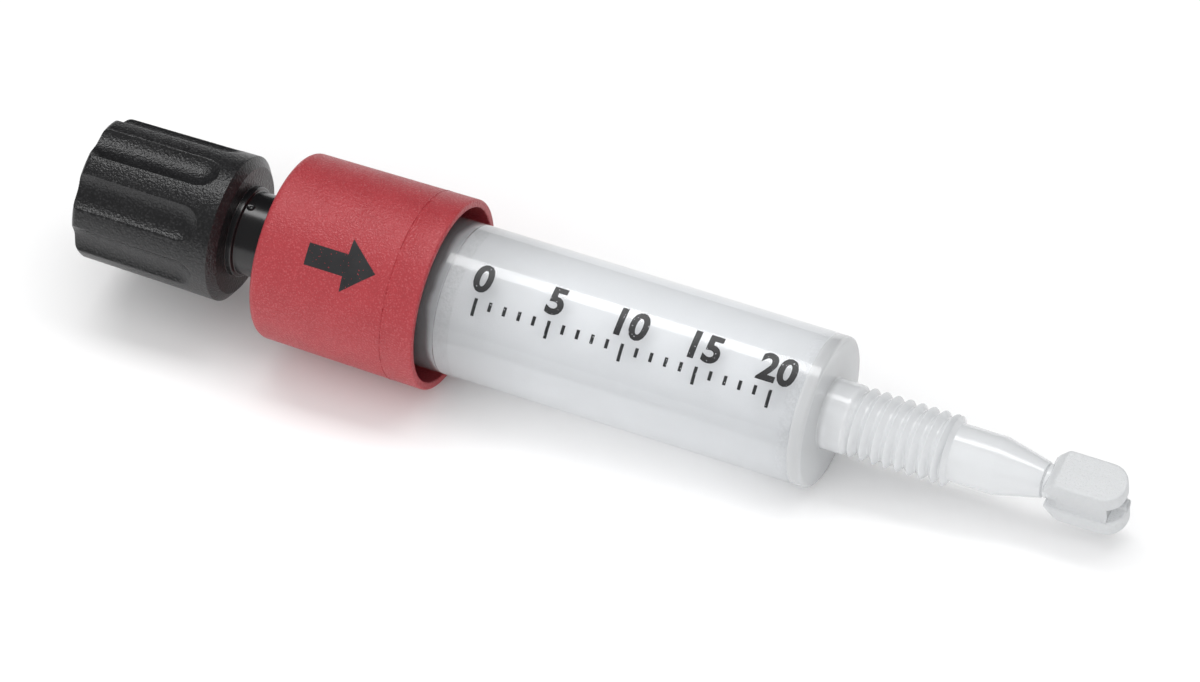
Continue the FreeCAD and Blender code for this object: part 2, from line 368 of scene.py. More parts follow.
def mould_grain_group():
    """Fine leather-like texture of a spark-eroded mould.

    It gives a height, masks of its pits and peaks, and a broad mottle.
    """
    known = bpy.data.node_groups.get("Mould grain")
    if known:
        return known
    tree = bpy.data.node_groups.new("Mould grain", "ShaderNodeTree")
    group_socket(tree, "Vector", "NodeSocketVector", True)
    group_socket(tree, "Grain size", "NodeSocketFloat", True, 0.0003)
    group_socket(tree, "Mottle size", "NodeSocketFloat", True, 0.004)
    group_socket(tree, "Height", "NodeSocketFloat", False)
    group_socket(tree, "Pits", "NodeSocketFloat", False)
    group_socket(tree, "Peaks", "NodeSocketFloat", False)
    group_socket(tree, "Mottle", "NodeSocketFloat", False)
    start = add_node(tree, "NodeGroupInput", (-900, 0))
    end = add_node(tree, "NodeGroupOutput", (600, 0))
    per_grain = math_node(tree, "DIVIDE", 1.0, start.outputs["Grain size"], (-700, 150))
    per_speck = math_node(tree, "MULTIPLY", per_grain, 1.6, (-600, 300))
    per_mottle = math_node(tree, "DIVIDE", 1.0, start.outputs["Mottle size"], (-700, -150))
    coarse = add_node(tree, "ShaderNodeTexNoise", (-450, 300))
    set_inputs(coarse, Detail=1.0, Roughness=0.6)
    cells = add_node(tree, "ShaderNodeTexVoronoi", (-450, 0), feature="F1")
    cloud = add_node(tree, "ShaderNodeTexNoise", (-450, -300))
    set_inputs(cloud, Detail=2.0, Roughness=0.5)
    for node, scale in ((coarse, per_speck), (cells, per_grain), (cloud, per_mottle)):
        tree.links.new(start.outputs["Vector"], node.inputs["Vector"])
        tree.links.new(scale, node.inputs["Scale"])
    height = math_node(
        tree, "MULTIPLY_ADD", cells.outputs["Distance"], -0.6, (-150, 150), coarse.outputs["Fac"],
    )
    tree.links.new(height, end.inputs["Height"])
    tree.links.new(ramp(tree, height, 0.4, 0.0, (150, 0)), end.inputs["Pits"])
    tree.links.new(ramp(tree, height, 0.22, 0.48, (150, -250)), end.inputs["Peaks"])
    tree.links.new(cloud.outputs["Fac"], end.inputs["Mottle"])
    return tree


def handling_marks_group():
    """Light scuffs on a glossy moulding: masks of thin scratches and of dull patches."""
    known = bpy.data.node_groups.get("Handling marks")
    if known:
        return known
    tree = bpy.data.node_groups.new("Handling marks", "ShaderNodeTree")
    group_socket(tree, "Vector", "NodeSocketVector", True)
    group_socket(tree, "Amount", "NodeSocketFloat", True, 0.5)
    group_socket(tree, "Scratches", "NodeSocketFloat", False)
    group_socket(tree, "Dull", "NodeSocketFloat", False)
    start = add_node(tree, "NodeGroupInput", (-900, 0))
    end = add_node(tree, "NodeGroupOutput", (600, 0))
    stretch = add_node(tree, "ShaderNodeMapping", (-700, 200))
    stretch.inputs["Scale"].default_value = (420.0, 9000.0, 9000.0)
    stretch.inputs["Rotation"].default_value = (0.0, 0.0, 0.12)
    tree.links.new(start.outputs["Vector"], stretch.inputs["Vector"])
    lines = add_node(tree, "ShaderNodeTexNoise", (-450, 200))
    set_inputs(lines, Scale=1.0, Detail=2.0, Roughness=0.7)
    tree.links.new(stretch.outputs["Vector"], lines.inputs["Vector"])
    thin = ramp(tree, lines.outputs["Fac"], 0.70, 0.76, (-200, 200))
    cloud = add_node(tree, "ShaderNodeTexNoise", (-450, -200))
    set_inputs(cloud, Scale=520.0, Detail=4.0, Roughness=0.65)
    tree.links.new(start.outputs["Vector"], cloud.inputs["Vector"])
    dull = ramp(tree, cloud.outputs["Fac"], 0.45, 0.75, (-200, -200))
    scratches = math_node(tree, "MULTIPLY", thin, start.outputs["Amount"], (100, 200))
    dulled = math_node(tree, "MULTIPLY", dull, start.outputs["Amount"], (100, -200))
    tree.links.new(scratches, end.inputs["Scratches"])
    tree.links.new(dulled, end.inputs["Dull"])
    return tree


def new_material(name):
    material = bpy.data.materials.new(name)
    material.use_nodes = True
    tree = material.node_tree
    shader = tree.nodes["Principled BSDF"]
    place = add_node(tree, "ShaderNodeTexCoord", (-1400, 0))
    return material, tree, shader, place.outputs["Object"]


def group_node(tree, group, place, vector, **values):
    node = add_node(tree, "ShaderNodeGroup", place, node_tree=group)
    tree.links.new(vector, node.inputs["Vector"])
    set_inputs(node, **values)
    return node


def add_bump(tree, shader, height, distance, strength):
    node = add_node(tree, "ShaderNodeBump", (-250, -300))
    set_inputs(node, Distance=distance, Strength=strength)
    tree.links.new(height, node.inputs["Height"])
    tree.links.new(node.outputs["Normal"], shader.inputs["Normal"])


def add_grain(tree, vector, size, mottle, place=(-1100, 0)):
    """The mould's grain, with the sizes of its cells and of its mottle in metres."""
    return group_node(
        tree, mould_grain_group(), place, vector, Grain_size=size, Mottle_size=mottle,
    ).outputs


def red_moulding():
    """Red satin moulding with fine grain and slight mottling; its grain's peaks are painted a lighter red
    as painted glints.
    """
    material, tree, shader, place = new_material("Red moulding")
    red = bpy.context.scene.column_colours.collar
    grain = add_grain(tree, place, 0.00015, 0.0016)
    base = mix_colours(
        tree, grain["Mottle"], shade_of(red, 0.90), shade_of(red, 1.08, 0.004), (-800, 200),
    )
    # Painted highlight: the grain's peaks are painted a lighter red, as painted glints.
    painted_glint = math_node(tree, "MULTIPLY", grain["Peaks"], 0.4, (-800, 50))
    base = mix_colours(tree, painted_glint, base, shade_of(red, 1.3, 0.09), (-600, 200))
    rough = math_node(tree, "MULTIPLY_ADD", grain["Pits"], 0.12, (-600, -50), 0.34)
    tree.links.new(base, shader.inputs["Base Color"])
    tree.links.new(rough, shader.inputs["Roughness"])
    add_bump(tree, shader, grain["Height"], 0.000042, 1.0)
    set_inputs(shader, Specular_IOR_Level=0.5, IOR=1.49)
    return material


def black_moulding():
    """Black moulding: leather-like grain on the knob, smooth on the neck and stem; the knob's grain peaks
    are painted lighter as painted glints.
    """
    material, tree, shader, place = new_material("Black moulding")
    black = bpy.context.scene.column_colours.stopper
    grain = add_grain(tree, place, 0.00019, 0.003)
    along = distance_along(tree, place, (-1100, 300))
    smooth = math_node(tree, "GREATER_THAN", along, NECK_FACE, (-900, 300))
    base = mix_colours(tree, grain["Mottle"], black, shade_of(black, 2.3), (-800, 400))
    knob = math_node(tree, "SUBTRACT", 1.0, smooth, (-700, -200))
    # Painted highlight: on the knob the grain's peaks are painted lighter, as painted glints.
    painted_glint_on_knob = math_node(tree, "MULTIPLY", knob, 0.4, (-800, 200))
    painted_glint = math_node(tree, "MULTIPLY", grain["Peaks"], painted_glint_on_knob, (-700, 200))
    base = mix_colours(tree, painted_glint, base, shade_of(black, 3, 0.032), (-600, 300))
    tree.links.new(base, shader.inputs["Base Color"])
    rough = add_node(tree, "ShaderNodeMapRange", (-600, 0))
    set_inputs(rough, To_Min=0.33, To_Max=0.22)
    tree.links.new(smooth, rough.inputs["Value"])
    tree.links.new(rough.outputs["Result"], shader.inputs["Roughness"])
    height = math_node(tree, "MULTIPLY", grain["Height"], knob, (-500, -250))
    add_bump(tree, shader, height, 0.000032, 1.0)
    set_inputs(shader, Specular_IOR_Level=0.6, IOR=1.49)
    return material


def dark_adapter():
    """Dark moulding of the inlet adapter; away from the collar's mouth it is painted pale with a ragged
    edge, as painted light past the collar's shade.
    """
    material, tree, shader, place = new_material("Adapter moulding")
    dark = bpy.context.scene.column_colours.adapter
    grain = add_grain(tree, place, 0.0005, 0.002)
    base = mix_colours(tree, grain["Mottle"], dark, shade_of(dark, 2.0), (-800, 200))
    along = distance_along(tree, place, (-1100, 500))
    # Painted light: the adapter keeps its own dark colour near the collar's mouth, where the collar
    # shades it, and is painted pale further in.
    ragged_shade_edge = math_node(tree, "MULTIPLY_ADD", grain["Mottle"], 0.0006, (-900, 500), along)
    mouth = column_placement().translation.x
    pale = ramp(tree, ragged_shade_edge, mouth + 0.0003, mouth + 0.0008, (-700, 500), "SMOOTHSTEP")
    base = mix_colours(tree, pale, base, (0.42, 0.43, 0.44), (-500, 200))
    tree.links.new(base, shader.inputs["Base Color"])
    add_bump(tree, shader, grain["Height"], 0.00001, 0.4)
    set_inputs(shader, Roughness=0.4)
    return material


def milky_moulding(name, clearness, shade, end_tone):
    """Translucent milky moulding, glossy on the barrel and finely grained on the tab.

    Thick parts have less clearness, shade is how much light the shadow lets through, and
    end_tone darkens the part before the end wall.
    """
    material, tree, shader, place = new_material(name)
    milky = bpy.context.scene.column_colours.barrel
    grain = add_grain(tree, place, 0.00016, 0.0035, (-1300, -100))
    marks = group_node(tree, handling_marks_group(), (-1300, -500), place, Amount=0.6)
    along = distance_along(tree, place, (-1300, 300))
    tab = ramp(tree, along, *TAB_GRAIN, (-1050, 300), "SMOOTHSTEP")
    tone = 0.89 + 0.11 * clearness
    deep = shade_of(shade_of(milky, 0.95), tone)
    base = mix_colours(tree, grain["Mottle"], deep, shade_of(milky, tone), (-800, 300))
    base = mix_colours(tree, tab, base, shade_of(milky, 0.81), (-600, 300))
    past_wall = ramp(tree, along, *END_WALL, (-1050, 600), "SMOOTHSTEP")
    base = mix_colours(tree, past_wall, shade_of(milky, end_tone), base, (-400, 300))
    tree.links.new(base, shader.inputs["Base Color"])
    glossy = math_node(tree, "MULTIPLY_ADD", marks.outputs["Dull"], 0.10, (-800, 50), 0.11)
    rough = math_node(tree, "MULTIPLY_ADD", tab, 0.38, (-600, 50), glossy)
    tree.links.new(rough, shader.inputs["Roughness"])
    grained = math_node(tree, "MULTIPLY", grain["Height"], tab, (-800, -250))
    scratches = marks.outputs["Scratches"]
    scuffed = math_node(tree, "MULTIPLY_ADD", scratches, -0.10, (-600, -250), grained)
    add_bump(tree, shader, scuffed, 0.00006, 0.8)
    let_light_through(tree, shader, shade)
    set_inputs(shader, Transmission_Weight=clearness, IOR=1.49, Specular_IOR_Level=0.5)
    return material


def packed_beads():
    """Settled beads of the bed: pale, with faint grain, and darkened by painted shade towards the collar.
    """
    material, tree, shader, place = new_material("Packed bed")
    pale = bpy.context.scene.column_colours.bed
    grain = add_grain(tree, place, 0.00012, 0.002)
    base = mix_colours(tree, grain["Mottle"], shade_of(pale, 0.93), pale, (-800, 200))
    along = distance_along(tree, place, (-1100, 500))
    mouth = column_placement().translation.x
    # Painted shade: the bed is painted darker near the collar's mouth, where the collar shades it.
    clear_of_painted_shade = ramp(tree, along, mouth + 0.001, mouth + 0.009, (-800, 500), "SMOOTHSTEP")
    base = mix_colours(tree, clear_of_painted_shade, shade_of(pale, 0.74), base, (-600, 200))
    tree.links.new(base, shader.inputs["Base Color"])
    add_bump(tree, shader, grain["Height"], 0.00002, 0.5)
    let_light_through(tree, shader, 0.78)
    set_inputs(shader, Roughness=0.7)
    return material


def sintered_disc(name, tone):
    """Sintered plastic of a frit: fine, porous and white, darkened by tone; a tone under 1 is painted
    shade.
    """
    material, tree, shader, place = new_material(name)
    white = shade_of(bpy.context.scene.column_colours.frit, tone)
    grain = add_grain(tree, place, 0.0002, 0.001)
    base = mix_colours(tree, grain["Pits"], white, shade_of(white, 0.9), (-600, 200))
    tree.links.new(base, shader.inputs["Base Color"])
    add_bump(tree, shader, grain["Height"], 0.00003, 0.8)
    set_inputs(shader, Roughness=0.8)
    return material


def pad_ink():
    """Pad-printed dark ink, thin and speckled where it skipped the grain."""
    material, tree, shader, place = new_material("Printed ink")
    ink = bpy.context.scene.column_colours.ink
    grain = add_grain(tree, place, 0.00018, 0.0015)
    base = mix_colours(tree, grain["Mottle"], ink, shade_of(ink, 1.0, 0.02), (-600, 200))
    tree.links.new(base, shader.inputs["Base Color"])
    covered = math_node(tree, "LESS_THAN", grain["Height"], 0.51, (-600, -100))
    tree.links.new(covered, shader.inputs["Alpha"])
    set_inputs(shader, Roughness=0.42)
    return material


# Pieces

def dress_node(node, material):
    """Gives a CAD node that stays in view its finish."""
    piece = frame["nodes"][node]
    if not piece.data.materials:
        piece.data.materials.append(material)
    for slot in piece.material_slots:
        slot.material = material


class COLUMN_OT_add_packing(bpy.types.Operator):
    """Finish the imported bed, its two frits and the inlet adapter"""

    bl_idname = "column.add_packing"
    bl_label = "Packed bed, frits and adapter"

    def execute(self, context):
        dress_node("resin_bed", packed_beads())
        # Painted shade: the upper disc lies at the collar's mouth and is painted darker.
        dress_node("top_frit", sintered_disc("Upper disc in painted shade", 0.72))
        dress_node("bottom_frit", sintered_disc("Lower disc", 1.0))
        dress_node("inlet_adapter", dark_adapter())
        return {"FINISHED"}


def thread_radius(sizes, start, end):
    """Radius of the outlet at a point of its right-handed thread, fading in at the shoulder."""
    crest = sizes.outlet
    depth = sizes.thread_depth
    pitch = sizes.thread_pitch

    def radius_at(x, radius, angle):
        if not start - 0.2 * pitch < x < end:
            return radius
        phase = ((x - start) / pitch + angle / TURN) % 1.0
        away = abs(phase - 0.5) * 2
        root = 1 - min(max((away - 0.12) / 0.84, 0.0), 1.0)
        fade = min(max((x - start) / (0.6 * pitch), 0.0), 1.0)
        return min(radius, crest - depth * root * fade)

    return radius_at


class COLUMN_OT_add_barrel(bpy.types.Operator):
    """Build the barrel with its flange, end wall, outlet and snap-off tab in one moulding"""

    bl_idname = "column.add_barrel"
    bl_label = "Barrel and outlet"

    def execute(self, context):
        sizes = context.scene.column_sizes
        bm = bmesh.new()
        thread_start = sizes.shoulder + 1.5 * MM
        thread_end = thread_start + 9 * sizes.thread_pitch + 0.2 * MM
        thread_stop = thread_end - 0.62 * MM
        nozzle_end = thread_end + 2.55 * MM
        cone_end = nozzle_end + 3.05 * MM
        boss_start = cone_end + 0.05 * MM
        tab_start = boss_start + 0.2 * MM
        inlet = -8.2 * MM
        flange_face = -6.8 * MM
        flange = sizes.barrel + 0.63 * MM
        nozzle = 1.87 * MM
        passage = 0.5 * MM
        passage_end = cone_end - 0.3 * MM
        bed_end = 25.0 * MM
        outside = rounded([
            (inlet, 0.0, 0),
            (inlet, flange, 0.15 * MM),
            (flange_face, flange, 0.15 * MM),
            (flange_face, sizes.barrel, 0),
            (SECOND_FINISH, sizes.barrel, 0),
            (sizes.shoulder, sizes.barrel, sizes.shoulder_edge),
            (sizes.shoulder, sizes.outlet, 0.1 * MM),
            (thread_stop, sizes.outlet, 0.05 * MM),
            (thread_stop + 0.28 * MM, nozzle, 0.08 * MM),
            (nozzle_end, nozzle, 0.5 * MM),
            (cone_end, 1.15 * MM, 0.08 * MM),
            (cone_end, 1.0 * MM, 0),
            (boss_start, 1.0 * MM, 0),
            (boss_start, 1.08 * MM, 0.12 * MM),
            (tab_start + 0.8 * MM, 1.05 * MM, 0),
            (tab_start + 0.8 * MM, 0.0, 0),
        ])
        first_cut, last_cut = thread_start - 0.1 * MM, thread_stop - 0.01 * MM
        outside = divided(outside, first_cut, last_cut, sizes.thread_pitch / 22)
        radius_at = thread_radius(sizes, thread_start, thread_stop)
        turned_mesh(bm, outside, even_angles(160), radius_at)
        thin_wall = milky_moulding("Milky tube", 0.88, 0.84, 0.97)
        thick_wall = milky_moulding("Milky outlet", 0.18, 0.48, 0.68)
        body = piece_from(bm, "barrel_moulding", thin_wall, "column")
        bore = bmesh.new()
        inside = sizes.bore - 0.05 * MM
        turned_mesh(bore, [
            (-9.0 * MM, 0.0),
            (-9.0 * MM, inside),
            (bed_end, inside),
            (bed_end, 3.0 * MM),
            (bed_end + 0.3 * MM, passage),
            (passage_end, passage),
            (passage_end, 0.0),
        ], even_angles(96))
        cutter = piece_from(bore, "barrel_bore", thin_wall, "column")
        carve(body, cutter, "DIFFERENCE")
        tab_solids = [
            piece_from(solid, "barrel_tab", thin_wall, "column")
            for solid in tab_meshes(tab_start)
        ]
        tab = tab_solids[0]
        for solid in tab_solids[1:]:
            carve(tab, solid, "UNION")
        carve(body, tab, "UNION")
        body.data.materials.clear()
        body.data.materials.append(thin_wall)
        body.data.materials.append(thick_wall)
        for face in body.data.polygons:
            thick = face.center.x > SECOND_FINISH + 0.01 * MM
            outer = Vector(face.center.yz).length > passage + 0.1 * MM
            face.material_index = int(thick and outer)
        body.data.shade_smooth()
        body.data.set_sharp_from_angle(angle=math.radians(40))
        even_shading(body)
        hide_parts("barrel")
        return {"FINISHED"}


def carve(piece, tool, operation):
    """Applies a boolean of tool to piece and removes tool."""
    change = piece.modifiers.new("Carve", "BOOLEAN")
    change.operation = operation
    change.solver = "EXACT"
    change.object = tool
    ready = piece.evaluated_get(bpy.context.evaluated_depsgraph_get())
    mesh = bpy.data.meshes.new_from_object(ready)
    piece.modifiers.remove(change)
    old = piece.data
    piece.data = mesh
    mesh.name = old.name
    bpy.data.meshes.remove(old)
    spent = tool.data
    bpy.data.objects.remove(tool)
    bpy.data.meshes.remove(spent)


def ring_stack(bm, rings):
    """Closes a stack of rings of points, each as long as the next, into a solid."""
    made = [[bm.verts.new(point) for point in ring] for ring in rings]
    count = len(made[0])
    for first, second in zip(made, made[1:]):
        for index in range(count):
            after = (index + 1) % count
            bm.faces.new((first[index], first[after], second[after], second[index]))
    bm.faces.new(made[0][::-1])
    bm.faces.new(made[-1])


def tab_meshes(tab_start):
    """Snap-off tab: two D-shaped flanges, the web between them and the mark of its gate."""
    half_width = 1.46 * MM
    half_height = 1.9 * MM
    shelf = half_height - 1.2 * MM
    tab_end = tab_start + 5.1 * MM
    solids = [flange_mesh(side, tab_start, tab_end, half_width, half_height, shelf) for side in (1, -1)]
    solids.append(web_mesh(tab_start, tab_end, shelf))
    gate_start = tab_end - 1.2 * MM
    gate = 0.37 * MM
    solids.append(bmesh.new())
    turned_mesh(solids[-1], [
        (gate_start, 0.0),
        (gate_start, gate),
        (tab_end + 0.06 * MM, gate),
        (tab_end + 0.1 * MM, 0.33 * MM),
        (tab_end + 0.1 * MM, 0.0),
    ], even_angles(32))
    for solid in solids:
        turn_mesh(solid, 8.0, "X")
    return solids


def flange_mesh(side, tab_start, tab_end, half_width, half_height, shelf):
    """One flange of the tab, above the web or, with side -1, below it."""
    edge = 0.16 * MM
    slope_foot = 0.95 * MM
    edge_angles = [math.radians(a) for a in (0, 22, 45, 67, 90)]

    def plan(inset, height):
        """Outline of the flange from above, drawn in by inset, at a height off the tab's middle."""
        width = half_width - inset
        climb = (abs(height) - slope_foot) / (half_height - slope_foot)
        back = tab_start + 0.8 * MM * min(max(climb, 0.0), 1.0) + inset * 0.6
        bend = half_width * 0.95
        points = []
        for share in quarter_turn(12):
            x = tab_end - bend + (bend - inset) * math.sin(share)
            points.append((x, -(half_width - bend) - (bend - inset) * math.cos(share)))
        for x, y in reversed(points[:]):
            points.append((x, -y))
        corner = 0.3 * MM if height > 0 else 0.9 * MM
        for share in quarter_turn(6):
            x = back + corner - corner * math.sin(share)
            points.append((x, width - corner + corner * math.cos(share)))
        for share in quarter_turn(6):
            x = back + corner - corner * math.cos(share)
            points.append((x, -width + corner - corner * math.sin(share)))
        return points

    levels = [(edge * (1 - math.sin(a)), shelf + edge * (1 - math.cos(a))) for a in edge_angles]
    levels += [(0.0, shelf + (half_height - shelf) * share) for share in (0.4, 0.7)]
    levels += [(edge * (1 - math.cos(a)), half_height - edge * (1 - math.sin(a))) for a in edge_angles]
    bm = bmesh.new()
    ring_stack(bm, [[(x, y, side * z) for x, y in plan(inset, z)] for inset, z in levels])
    return bm


def web_mesh(tab_start, tab_end, shelf):
    """Web between the flanges, with rounded roots; it narrows towards the boss."""
    groove = 0.3 * MM
    thick = 1.06 * MM
    top = shelf + 0.3 * MM
    sections = ((tab_start + 0.15 * MM, 0.7), (tab_start + 0.9 * MM, 1.0), (tab_end - 0.95 * MM, 1.0))
    rings = []
    for x, full in sections:
        outline = []
        for z_sign, y_sign in ((1, 1), (-1, 1), (-1, -1), (1, -1)):
            arc = []
            for share in quarter_turn(7):
                y = y_sign * (thick + groove * (1 - math.cos(share)))
                arc.append((y, z_sign * (shelf - groove + groove * math.sin(share))))
            arc.append((y_sign * (thick + groove), z_sign * top))
            if z_sign * y_sign > 0:
                arc.reverse()
            outline += [(x, y * full, z) for y, z in arc]
        rings.append(outline)
    bm = bmesh.new()
    ring_stack(bm, rings)
    return bm


class COLUMN_OT_add_collar(bpy.types.Operator):
    """Build the clip-on collar with its witness line, rounded end and open mouth"""

    bl_idname = "column.add_collar"
    bl_label = "Collar"

    def execute(self, context):
        sizes = context.scene.column_sizes
        mouth = sizes.collar
        closed_end = mouth - 0.15 * MM
        length = sizes.collar_length
        inner = mouth - sizes.collar_wall
        flange = sizes.barrel + 0.68 * MM
        hole = 2.93 * MM
        bead = flange - 0.5 * MM
        bead_start = -6.75 * MM
        end_wall = 1.6 * MM

        def outer(x):
            return mouth + (mouth - closed_end) * x / length

        line = -2.2 * MM
        ridge = 0.045 * MM

        def radius_at(x, radius, angle):
            if abs(x - line) > 1.05 * ridge or radius < inner + 0.1 * MM:
                return radius
            nicks = 1 + 0.5 * math.sin(7 * angle + 1.3) * math.sin(31 * angle)
            nicks += 0.3 * math.sin(97 * angle + 0.4)
            return outer(line) + (radius - outer(line)) * nicks

        outline = rounded([
            (-length, hole, 0),
            (-length, closed_end, 0.5 * MM),
            (line - 1.2 * ridge, outer(line), 0),
            (line - 0.4 * ridge, outer(line) + 0.5 * ridge, 0),
            (line + 0.3 * ridge, outer(line) - 0.4 * ridge, 0),
            (line + 1.2 * ridge, outer(line), 0),
            (0.0, mouth, 0.15 * MM),
            (0.0, inner, 0.1 * MM),
            (-5.55 * MM, inner, 0),
            (-6.05 * MM, bead, 0.1 * MM),
            (bead_start, bead, 0),
            (bead_start, flange, 0),
            (-length + end_wall, flange, 0.1 * MM),
            (-length + end_wall, hole, 0),
        ])
        bm = bmesh.new()
        turned_mesh(bm, outline, even_angles(288), radius_at)
        piece = piece_from(bm, "collar_moulding", red_moulding(), "column", sharp=50)
        even_shading(piece)
        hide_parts("collar")
        return {"FINISHED"}


def soft_least(first, second, blend):
    """The lesser of two radii, with their meeting edge rounded over blend."""
    near = max(blend - abs(first - second), 0.0) / blend
    return min(first, second) - near * near * blend / 4


def flute_angles():
    """Angles round the knob, close together along the edges of the flutes."""
    half, land, edge = 22.5, 15.8, 12.6
    runs = ((-half, -land, 4), (-land, -edge, 10), (-edge, edge, 18), (edge, land, 10), (land, half, 4))
    angles = []
    for flute in range(8):
        middle = FLUTE_TURN + 45 * flute
        for start, end, count in runs:
            for step in range(count):
                angles.append(math.radians(middle + start + (end - start) * step / count))
    return angles


class COLUMN_OT_add_stopper(bpy.types.Operator):
    """Build the stopper: fluted finger knob, neck and stem"""

    bl_idname = "column.add_stopper"
    bl_label = "Stopper"

    def execute(self, context):
        sizes = context.scene.column_sizes
        port_face = -12.1 * MM
        face = port_face - 2.55 * MM
        end = face - 10.15 * MM
        half_chord = sizes.flute_width / 2
        rim_part = math.sqrt(sizes.knob_rim ** 2 - half_chord ** 2)
        reach = rim_part + math.sqrt(sizes.flute_radius ** 2 - half_chord ** 2)
        edge_blend = 0.07 * MM
        nose = face - 1.6 * MM - half_chord
        taper = sizes.knob_rim - sizes.knob_end
        ring = 3.0 * MM
        stem = 2.35 * MM
        stem_tip = port_face + 6.3 * MM

        def radius_at(x, radius, angle):
            if x > face - 0.2 * MM or radius < 2.0 * MM:
                return radius
            turn = (math.degrees(angle) - FLUTE_TURN + 22.5) % 45 - 22.5
            away = math.radians(turn)
            centre = reach - taper * (nose - x) / (nose - end) if x < nose else reach
            cutter = sizes.flute_radius
            if x > nose:
                cutter = math.sqrt(max(cutter ** 2 - (x - nose) ** 2, 0.0))
            side = centre * math.sin(away)
            if abs(side) >= cutter:
                near_edge = centre * math.cos(away)
                if near_edge > radius + 0.3 * MM or cutter == 0.0:
                    return radius
                return soft_least(radius, near_edge, edge_blend)
            wall = centre * math.cos(away) - math.sqrt(cutter ** 2 - side ** 2)
            return soft_least(radius, wall, edge_blend)

        outline = rounded([
            (end, 0.0, 0),
            (end, sizes.knob_end, 0.4 * MM),
            (face - 0.45 * MM, sizes.knob_rim, 0.06 * MM),
            (face, sizes.knob_rim - 0.61 * MM, 0.06 * MM),
            (face, ring, 0.05 * MM),
            (face + 0.45 * MM, ring, 0.12 * MM),
            (face + 0.45 * MM, sizes.neck, 0.08 * MM),
            (port_face, sizes.neck, 0),
            (port_face, stem, 0),
            (port_face + 5.2 * MM, stem, 0.1 * MM),
            (stem_tip, 1.2 * MM, 0),
            (stem_tip, 0.0, 0),
        ])
        outline[1:1] = [(end, r * MM) for r in (2.2, 3.4, 3.9, 4.05, 4.15, 4.22)]
        outline = divided(outline, end + 0.4 * MM, nose - 0.1 * MM, 0.5 * MM)
        outline = divided(outline, nose - 0.1 * MM, nose + 1.55 * MM, 0.045 * MM)
        bm = bmesh.new()
        turned_mesh(bm, outline, flute_angles(), radius_at)
        finish = black_moulding()
        piece = piece_from(bm, "stopper_moulding", finish, "stopper", sharp=50)
        even_shading(piece)
        piece_from(pin_mark(sizes.neck), "stopper_pin_mark", finish, "stopper")
        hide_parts("stopper")
        return {"FINISHED"}


def pin_mark(radius):
    """Small round mark that the mould's pin left on top of the neck."""
    bm = bmesh.new()
    turned_mesh(bm, [
        (-0.06 * MM, 0.0),
        (-0.06 * MM, 0.30 * MM),
        (0.02 * MM, 0.28 * MM),
        (0.045 * MM, 0.25 * MM),
        (0.02 * MM, 0.21 * MM),
        (0.008 * MM, 0.13 * MM),
        (0.008 * MM, 0.09 * MM),
        (0.03 * MM, 0.05 * MM),
        (0.03 * MM, 0.0),
    ], even_angles(32))
    along = -13.9 * MM
    degrees_aside = 6.3
    turn_mesh(bm, -90.0, "Y")
    bmesh.ops.translate(bm, verts=bm.verts, vec=(along, 0.0, radius))
    turn_mesh(bm, degrees_aside, "X")
    return bm


def flat_marks(shapes):
    """Mesh of flat (text or outline, x, y, size) marks, cut across into strips that can bend."""
    bm = bmesh.new()
    for shape, x, y, size in shapes:
        if isinstance(shape, str):
            add_lettering(bm, shape, x, y, size)
        else:
            bm.faces.new([bm.verts.new((x + px * size, y + py * size, 0.0)) for px, py in shape])
    heights = [v.co.y for v in bm.verts]
    step = 0.12 * MM
    height = min(heights) + step
    while height < max(heights):
        everything = bm.verts[:] + bm.edges[:] + bm.faces[:]
        bmesh.ops.bisect_plane(bm, geom=everything, plane_co=(0, height, 0), plane_no=(0, 1, 0))
        height += step
    bmesh.ops.triangulate(bm, faces=bm.faces)
    return bm


def add_lettering(bm, words, x, y, size):
    """Plain figures in Blender's own face, made a little bolder, centred on x and y."""
    curve = bpy.data.curves.new("figures", "FONT")
    curve.body = words
    curve.size = size
    curve.offset = size * 0.035
    curve.align_x = "CENTER"
    curve.align_y = "CENTER"
    curve.resolution_u = 4
    figures = bpy.data.objects.new("figures", curve)
    bpy.context.scene.collection.objects.link(figures)
    ready = figures.evaluated_get(bpy.context.evaluated_depsgraph_get())
    mesh = bpy.data.meshes.new_from_object(ready)
    mesh.transform(Matrix.Translation((x, y, 0.0)))
    bm.from_mesh(mesh)
    bpy.data.meshes.remove(mesh)
    bpy.data.objects.remove(figures)
    bpy.data.curves.remove(curve)


def wrapped(bm, radius_at, turn):
    """Bends flat marks round the axis, just clear of the surface; y runs up towards the top."""
    for vert in bm.verts:
        x, y = vert.co.x, vert.co.y
        radius = radius_at(x) + 0.012 * MM
        angle = turn - y / radius
        vert.co = (x, -radius * math.sin(angle), radius * math.cos(angle))


